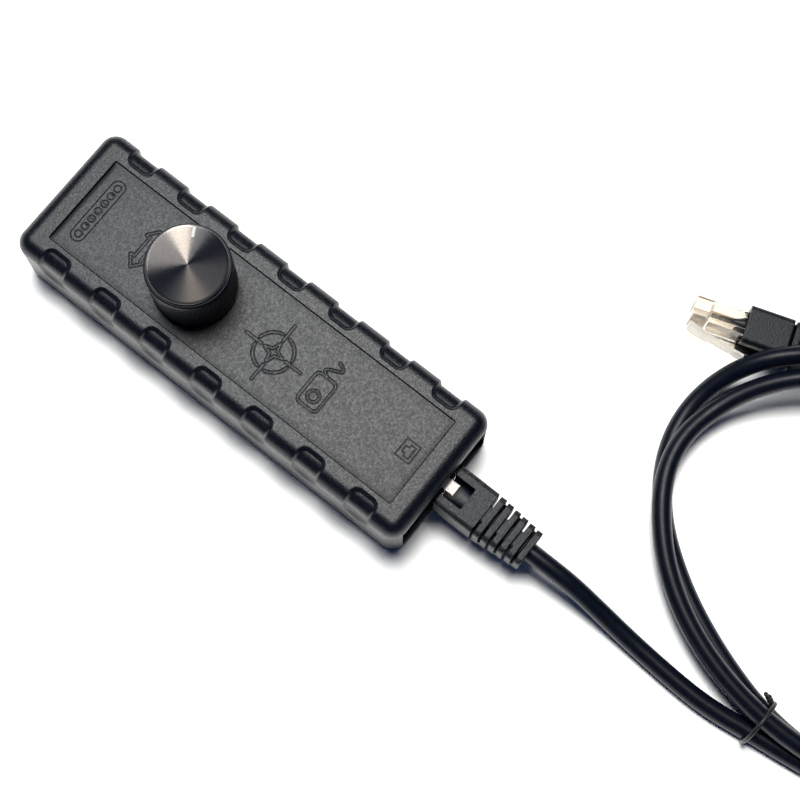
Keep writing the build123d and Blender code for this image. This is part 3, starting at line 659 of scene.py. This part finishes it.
def label_plate():
    """The plate's top as a fine grid with the sunk marks, closed by its sides and back."""
    spans_x = [(min(m[1][0] for m in MARKS), max(m[1][1] for m in MARKS))]
    spans_y = sorted((m[1][2], m[1][3]) for m in MARKS)
    xs = grid_lines(-PLATE_HALF_W, PLATE_HALF_W, spans_x)
    ys = grid_lines(-PLATE_HALF_L, PLATE_HALF_L, spans_y)
    gx, gy = np.meshgrid(xs, ys)
    edge = np.minimum(PLATE_HALF_W - np.abs(gx), PLATE_HALF_L - np.abs(gy))
    round_off = 0.12 * (1 - smooth_step(edge / 0.25))
    top = PLATE_TOP - groove_depth(gx, gy) - round_off
    low = PLATE_TOP - PLATE_T
    points = [*zip(gx.ravel(), gy.ravel(), top.ravel())]
    wide, tall = len(xs), len(ys)
    hole = np.hypot(gx, gy - KNOB_Y) < BUSH_HOLE_R
    faces = []
    kept = ~(hole[:-1, :-1] | hole[1:, :-1] | hole[:-1, 1:] | hole[1:, 1:])
    for r in range(tall - 1):
        for c in range(wide - 1):
            if kept[r, c]:
                a = r * wide + c
                faces.append((a, a + 1, a + wide + 1, a + wide))
    counts = {}
    for face in faces:
        for a, b in zip(face, face[1:] + face[:1]):
            counts[(a, b)] = counts.get((a, b), 0) + 1
    open_edges = [(a, b) for a, b in counts if (b, a) not in counts]
    below = {}
    for v in sorted({v for e in open_edges for v in e}):
        below[v] = len(points)
        x, y, _ = points[v]
        points.append((x, y, low))
    faces += [(b, a, below[a], below[b]) for a, b in open_edges]
    obj = mesh_piece("label_plate_marked", points, faces)
    close = bmesh.new()
    close.from_mesh(obj.data)
    rim = [e for e in close.edges if e.is_boundary]
    bmesh.ops.triangle_fill(close, use_beauty=True, edges=rim)
    bmesh.ops.recalc_face_normals(close, faces=close.faces)
    close.to_mesh(obj.data)
    close.free()
    return obj


# ================================================================ turned pieces
def lathe(name, profile, steps, ripple=None, close=True):
    """Turns a profile of (radius, height) about the knob's axis; ripple changes the radius."""
    points, faces = [], []
    turn = np.linspace(0, 2 * math.pi, steps, endpoint=False)
    for row, (radius, z) in enumerate(profile):
        r = np.full(steps, radius) if ripple is None else ripple(radius, turn)
        points += [(r[i] * math.cos(a), KNOB_Y + r[i] * math.sin(a), z) for i, a in enumerate(turn)]
    rows = len(profile)
    for i in range(rows if close else rows - 1):
        nxt = (i + 1) % rows
        for j in range(steps):
            k = (j + 1) % steps
            faces.append((i * steps + j, i * steps + k, nxt * steps + k, nxt * steps + j))
    if not close:
        faces += [list(range(steps)), list(range((rows - 1) * steps, rows * steps))[::-1]]
    return mesh_piece(name, points, faces)


def knob_body():
    """The knob with its fine straight knurl, its foot recess and the seat for the cap."""
    flank = [(KNOB_R, z) for z in np.linspace(KNOB_LOW + 0.7, KNOB_HIGH - 1.0, 9)]
    profile = [(3.01, 28.6), (7.5, 28.6), (7.5, KNOB_LOW + 0.2), (7.7, KNOB_LOW), (11.2, KNOB_LOW),
               (11.5, KNOB_LOW + 0.3), *flank, (11.62, KNOB_HIGH - 0.6), (11.62, KNOB_HIGH - 0.28),
               (11.3, KNOB_HIGH), (10.5, KNOB_HIGH), (10.35, KNOB_HIGH - 0.15), (10.35, 40.0), (3.01, 40.0)]

    def knurl(radius, turn):
        on = radius == KNOB_R
        return radius - (KNURL_DEPTH * (0.5 - 0.5 * np.cos(KNURLS * turn)) if on else 0 * turn)

    return lathe("knob_knurled", profile, KNURLS * 4, knurl)


def knob_cap():
    """The spun disc: a shallow crown, a bright turned edge and a neck in the knob's seat."""
    face = [(r, CAP_TOP - CAP_CROWN * (r / CAP_R) ** 2) for r in np.linspace(10.5, 0.12, 24)]
    profile = [(0.12, 40.02), (10.3, 40.02), (10.3, 42.1), (10.62, 42.2), (CAP_R, 42.35),
               (CAP_R, 42.72), (10.74, 42.9), *face]
    return lathe("knob_spun_cap", profile, 256, close=False)


# ================================================================ the boots and plugs
def boxes_mesh(name, boxes, place, voxel=0.16, smooth=3):
    """One moulded skin round several blocks given as (low corner, high corner)."""
    skin = bmesh.new()
    for low, high in boxes:
        size = [(b - a) * MM for a, b in zip(low, high)]
        middle = [(a + b) / 2 * MM for a, b in zip(low, high)]
        matrix = Matrix.Translation(middle) @ Matrix.Diagonal((*size, 1))
        bmesh.ops.create_cube(skin, size=1.0, matrix=matrix)
    mesh = bpy.data.meshes.new(name)
    skin.to_mesh(mesh)
    skin.free()
    obj = new_object(name, mesh)
    return remeshed(obj, place, voxel, smooth)


def remeshed(obj, place, voxel, smooth):
    """Voxel remesh and soften a piece, then put it in its place."""
    remesh = obj.modifiers.new("skin", "REMESH")
    remesh.mode, remesh.voxel_size = "VOXEL", voxel * MM
    soften = obj.modifiers.new("soften", "SMOOTH")
    soften.factor, soften.iterations = 0.5, smooth
    graph = bpy.context.evaluated_depsgraph_get()
    mesh = bpy.data.meshes.new_from_object(obj.evaluated_get(graph))
    obj.modifiers.clear()
    obj.data = mesh
    mesh.transform(place)
    mesh.polygons.foreach_set("use_smooth", [True] * len(mesh.polygons))
    return obj


BOOT_HALF_W, BOOT_HALF_H, BLOCK_END, BOOT_END, BOOT_CORNER = 6.65, 5.6, -12.5, -28.0, 1.3
SLEEVE_HALF_W, SLEEVE_END, WINDOW_HALF_W, WINDOW_END = 5.95, -8.2, 3.35, -6.7
CORE_WIDE, CORE_NARROW = 2.8, 2.2
RIBS, RIB_PITCH, SLOT_W, RIB_CORNER = 6, 2.58, 0.72, 1.5
RIB_HALF_W, RIB_HALF_H, RIB_TAPER_W, RIB_TAPER_H = 6.6, 5.5, 1.05, 0.85
TOP_BRIDGE_HALF_W, SIDE_BRIDGE_Z = 2.3, (-3.4, -1.4)
PLUG_HALF_W, PLUG_NOSE, PLUG_LOW, PLUG_HIGH, SHOULDER = 5.85, 15.1, -4.0, 2.5, 3.6
PLUG_REAR, WIRE_BAY_HALF_W, WIRE_BAY_END, COMB_L = -8, 4.4, 10.0, 4.9
LEVER_WAY_HALF_W, LEVER_WAY_FROM, LEVER_WAY_END, LEVER_WAY_TOP = 2.1, -0.5, 5.2, 2.05


def rounded(boxes, half_w, half_h, radius):
    """Blocks cut to a rectangle with round corners, as overlapping blocks that fill its arcs."""
    cut = []
    for a in np.radians([0, 22.5, 45, 67.5, 90]):
        w, h = half_w - radius * (1 - math.sin(a)), half_h - radius * (1 - math.cos(a))
        for low, high in boxes:
            corner_low = (max(low[0], -w), low[1], max(low[2], -h))
            corner_high = (min(high[0], w), high[1], min(high[2], h))
            cut.append((corner_low, corner_high))
    return [(low, high) for low, high in cut if low[0] < high[0] and low[2] < high[2]]


def boot(name, place):
    """A sleeve with a latch window on top, then slotted ribs that taper to the cord."""
    w, h, low, top = BOOT_HALF_W, BOOT_HALF_H, PLUG_LOW - 0.1 - BOOT_MID, SHOULDER + 0.1 - BOOT_MID
    sleeve, window = SLEEVE_HALF_W, WINDOW_HALF_W
    block = [((-w, BLOCK_END, -h), (w, 0, low)), ((-w, BLOCK_END, -h), (-sleeve, 0, h)),
             ((sleeve, BLOCK_END, -h), (w, 0, h)), ((-w, BLOCK_END, top), (-window, 0, h)),
             ((window, BLOCK_END, top), (w, 0, h)), ((-w, BLOCK_END, top), (w, WINDOW_END, h)),
             ((-w, BLOCK_END, -h), (w, SLEEVE_END, h))]
    boxes = rounded(block, w, h, BOOT_CORNER)
    for half_w, half_h in ((CORE_WIDE, CORE_NARROW), (CORE_NARROW, CORE_WIDE)):
        boxes.append(((-half_w, BOOT_END, -half_h), (half_w, BLOCK_END, half_h)))
    for i in range(RIBS):
        start = BLOCK_END - i * RIB_PITCH
        t = i / (RIBS - 1)
        half_w, half_h = RIB_HALF_W - RIB_TAPER_W * t, RIB_HALF_H - RIB_TAPER_H * t
        low, high = start - RIB_PITCH, start - SLOT_W
        boxes += rounded([((-half_w, low, -half_h), (half_w, high, half_h))], half_w, half_h, RIB_CORNER)
        if i % 2 == 0:
            boxes.append(((-TOP_BRIDGE_HALF_W, low, -half_h), (TOP_BRIDGE_HALF_W, start + 0.1, half_h)))
        else:
            boxes.append(((-half_w, low, SIDE_BRIDGE_Z[0]), (half_w, start + 0.1, SIDE_BRIDGE_Z[1])))
    return boxes_mesh(name, boxes, place @ Matrix.Translation((0, 0, BOOT_MID * MM)))


def plug(name, place):
    """A clear plug: a hollow wire bay, a comb over the contacts and a low way under the lever."""
    w, rear, nose, high, bay = PLUG_HALF_W, PLUG_REAR, PLUG_NOSE, PLUG_HIGH, WIRE_BAY_HALF_W
    front, way, way_end = nose - COMB_L, LEVER_WAY_HALF_W, LEVER_WAY_END + 0.1
    boxes = [((-w, rear, PLUG_LOW), (w, nose, -2.9)), ((-w, rear, PLUG_LOW), (-bay, nose, high)),
             ((bay, rear, PLUG_LOW), (w, nose, high)), ((-w, LEVER_WAY_END, 0.7), (w, nose, high)),
             ((-w, WIRE_BAY_END, -0.6), (w, nose, high)), ((-w, WIRE_BAY_END, -2.9), (w, front, 0.8)),
             ((-w, rear, 0.7), (-3.5, -0.5, SHOULDER)), ((3.5, rear, 0.7), (w, -0.5, SHOULDER)),
             ((-w, LEVER_WAY_FROM, 0.7), (-way, way_end, high)),
             ((way, LEVER_WAY_FROM, 0.7), (w, way_end, high)),
             ((-way - 0.1, LEVER_WAY_FROM, 0.7), (way + 0.1, way_end, LEVER_WAY_TOP)),
             ((-2.6, 1.2, 0.0), (2.6, 2.6, 0.8))]
    boxes += [((-w + 1.0 * k, -7.5, 0.7), (-w + 1.0 * k + 0.5, -5, 1.3)) for k in range(12)]
    for k in range(9):
        x = (k - 4) * WIRE_PITCH
        boxes.append(((x - 0.24, front - 0.1, PLUG_LOW), (x + 0.24, nose, -0.5)))
    return boxes_mesh(name, boxes, place, voxel=0.13, smooth=2)


def jacket_wedge(name, place):
    """The end of the jacket, pressed flat in the plug and tapering to a thin tongue."""
    sections = [(-8.0, 2.7, -2.8, 2.4), (-4.0, 3.6, -3.0, 2.2), (0.0, 4.6, -3.6, 1.55),
                (0.9, 4.6, -3.0, 1.45), (1.9, 4.55, -2.4, 1.15), (3.3, 4.5, -1.7, 0.35),
                (4.8, 4.4, -1.2, -0.35), (7.7, 4.2, -0.95, -0.6)]
    points, around = [], 20
    for y, half_w, low, high in sections:
        for k in range(around):
            a = 2 * math.pi * k / around
            x = math.copysign(abs(math.cos(a)) ** 0.6, math.cos(a)) * half_w
            z = math.copysign(abs(math.sin(a)) ** 0.7, math.sin(a)) * (high - low) / 2
            points.append((x, y, (low + high) / 2 + z))
    return mesh_piece(name, points, tube_faces(len(sections), around), place)


# ================================================================ the cord and its tie
def coil_points():
    """The coil's turns: points round an oval whose offset and height follow the keys."""
    angles = [k[0] for k in COIL_KEYS]
    first, last = angles[0], angles[-1]
    count = round((last - first) / 360 * POINTS_PER_TURN)
    points = []
    for angle in np.linspace(first, last, count + 1):
        offset = np.interp(angle, angles, [k[1] for k in COIL_KEYS])
        z = np.interp(angle, angles, [k[2] for k in COIL_KEYS])
        a = math.radians(angle)
        x, y = COIL_HALF[0] * math.cos(a), COIL_HALF[1] * math.sin(a)
        scale = 1 + offset / math.hypot(x, y)
        points.append((COIL_AT[0] + x * scale, COIL_AT[1] + y * scale, z))
    return points


def cord_curve():
    route = [*RUN, *coil_points(), *TAIL]
    curve = bpy.data.curves.new("lead_cord", "CURVE")
    curve.dimensions = "3D"
    spline = curve.splines.new("NURBS")
    spline.points.add(len(route) - 1)
    for point, (x, y, z) in zip(spline.points, route):
        point.co = (x * MM, y * MM, z * MM, 1)
    spline.order_u = 3
    spline.use_endpoint_u = True
    spline.resolution_u = 10
    curve.bevel_depth = CORD_R * MM
    curve.bevel_resolution = 8
    curve.use_fill_caps = True
    return new_object("lead_cord", curve)


def tube_piece(name, line, radius, around=12):
    """A round tube along points, with flat ends."""
    points = []
    line = [Vector(p) for p in line]
    up = Vector((0.0, 1.0, 0.0))
    for i, p in enumerate(line):
        ahead = (line[min(i + 1, len(line) - 1)] - line[max(i - 1, 0)]).normalized()
        side = ahead.cross(up).normalized()
        up = side.cross(ahead).normalized()
        for k in range(around):
            a = 2 * math.pi * k / around
            points.append(p + side * radius * math.cos(a) + up * radius * math.sin(a))
    return mesh_piece(name, points, tube_faces(len(line), around), smooth_angle=50)


def twist_tie():
    """A coated wire round the strands, its two ends twisted together."""
    x, y, z = TIE_AT
    loop = []
    for a in np.radians(np.linspace(20, 340, 60)):
        height = max(z + TIE_HALF_H * math.sin(a), TIE_LOW_Z)
        loop.append((x + TIE_HALF_W * math.cos(a), y + 0.8 * math.sin(a / 2), height))
    twist_a, twist_b = [], []
    for t in np.linspace(0, 1, 24):
        a = t * TWIST_HALF_TURNS * math.pi
        cx, cy, cz = [start + along * t for start, along in zip(TWIST_FROM, TWIST_ALONG)]
        off = TWIST_R * (math.cos(a)), TWIST_R * math.sin(a)
        twist_a.append((cx, cy + off[0], cz + off[1]))
        twist_b.append((cx, cy - off[0], cz - off[1]))
    line = [*twist_a[::-1], *loop, *twist_b]
    return tube_piece("wire_tie", line, TIE_WIRE_R)


# ================================================================ put it together
finish_piece(case_top_shell(), "controller", "case_plastic", M["rim"], "case_top")
finish_piece(label_plate(), "controller", "plate_plastic", M["plate"], "label_plate")
finish_piece(knob_body(), "knob", "knob_anodised", M["knurled"], "knob_body")
knob_cap_piece = finish_piece(knob_cap(), "knob", "knob_spun", M["spun"], "knob_cap")

near_plug = finish_piece(plug("near_plug_moulded", NEAR), "lead", "clear_plastic", M["clear"], "near_plug")
far_plug = finish_piece(plug("far_plug_moulded", FAR), "lead", "clear_plastic", M["clear"], "far_plug")
near_boot = finish_piece(boot("near_boot_moulded", NEAR), "lead", "boot_rubber", M["boot"], "near_boot")
far_boot = finish_piece(boot("far_boot_moulded", FAR), "lead", "boot_rubber", M["boot"], "far_boot")
near_wedge = finish_piece(jacket_wedge("near_jacket_wedge", NEAR), "lead", "cord_jacket", M["cord"],
                          "near_jacket_end")
far_wedge = finish_piece(jacket_wedge("far_jacket_wedge", FAR), "lead", "cord_jacket", M["cord"],
                         "far_jacket_end")
tie = finish_piece(twist_tie(), "lead", "tie_plastic", M["tie"], "twist_tie")
cord = finish_piece(cord_curve(), "lead", "cord_jacket", M["cord"], "lead_run", "lead_coil")

CAD_LOOKS = {
    "case_bottom": "base", "end_panel": "base", "case_screws": "black_steel", "circuit_board": "green",
    "board_screws": "steel", "controller_chip": "jack", "board_components": "ceramic",
    "board_headers": "jack", "header_pins": "gold", "encoder_board": "green",
    "encoder_housing": "grey_case", "encoder_bushing": "steel", "encoder_washer": "steel",
    "encoder_nut": "steel", "encoder_pins": "gold", "switch_dome": "steel", "encoder_rotor": "rotor",
    "encoder_shaft": "steel", "knob_index_line": "white", "knob_set_screw": "black_steel",
    "jack_housing": "jack", "jack_contacts": "gold",
    "near_latch": "clear_lever", "far_latch": "clear_lever", "near_plug_contacts": "gold",
    "far_plug_contacts": "gold", "near_plug_wires": "near_wires", "far_plug_wires": "far_wires",
}
for node, look in CAD_LOOKS.items():
    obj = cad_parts[node]
    obj.data.materials.clear()
    obj.data.materials.append(M[look])


# ================================================================ stage, light and camera
def stage():
    floor_mesh = bpy.data.meshes.new("floor")
    half = FLOOR_SIZE / 2
    floor_mesh.from_pydata([(-half, -half, 0), (half, -half, 0), (half, half, 0), (-half, half, 0)], [],
                           [(0, 1, 2, 3)])
    floor = new_object("floor", floor_mesh)
    s = Shader("floor_paper", Roughness=0.9, Specular_IOR_Level=0.2)
    s.bsdf.inputs["Base Color"].default_value = (FLOOR_GREY, FLOOR_GREY, FLOOR_GREY * 0.985, 1)
    floor_mesh.materials.append(s.material)
    return floor


def area_light(name, at, aim, size, power, colour, receivers):
    light = bpy.data.lights.new(name, "AREA")
    light.shape, light.size, light.size_y = "RECTANGLE", size[0] * MM, size[1] * MM
    light.energy, light.color = power, colour
    obj = new_object(name, light)
    obj.location = Vector(at) * MM
    obj.rotation_euler = (Vector(aim) - Vector(at)).to_track_quat("-Z", "Y").to_euler()
    obj.light_linking.receiver_collection = receivers


def light_and_camera(floor):
    cap_only = bpy.data.collections.new("cap_only")
    all_but_cap = bpy.data.collections.new("all_but_cap")
    for group in (cap_only, all_but_cap):
        group.objects.link(knob_cap_piece)
    all_but_cap.collection_objects[0].light_linking.link_state = "EXCLUDE"
    area_light("cool_box", receivers=all_but_cap, **COOL_BOX)
    area_light("warm_box", receivers=all_but_cap, **WARM_BOX)
    for name, fan in FANS.items():
        area_light(name, aim=FAN_AIM, receivers=cap_only, **fan)
    floor_only = bpy.data.collections.new("floor_only")
    floor_only.objects.link(floor)
    area_light("floor_box", receivers=floor_only, **FLOOR_BOX)
    world = bpy.data.worlds.new("studio")
    bpy.context.scene.world = world
    world.use_nodes = True
    world.node_tree.nodes["Background"].inputs["Color"].default_value = (*WORLD_COLOUR, 1)
    bpy.context.scene.view_settings.view_transform = "Standard"
    data = bpy.data.cameras.new("camera")
    data.lens, data.clip_start, data.clip_end = CAMERA_LENS, 0.01, 20
    camera = new_object("camera", data)
    camera.location = Vector(CAMERA_AT) * MM
    camera.rotation_euler = [math.radians(a) for a in CAMERA_TURN]
    bpy.context.scene.camera = camera


light_and_camera(stage())
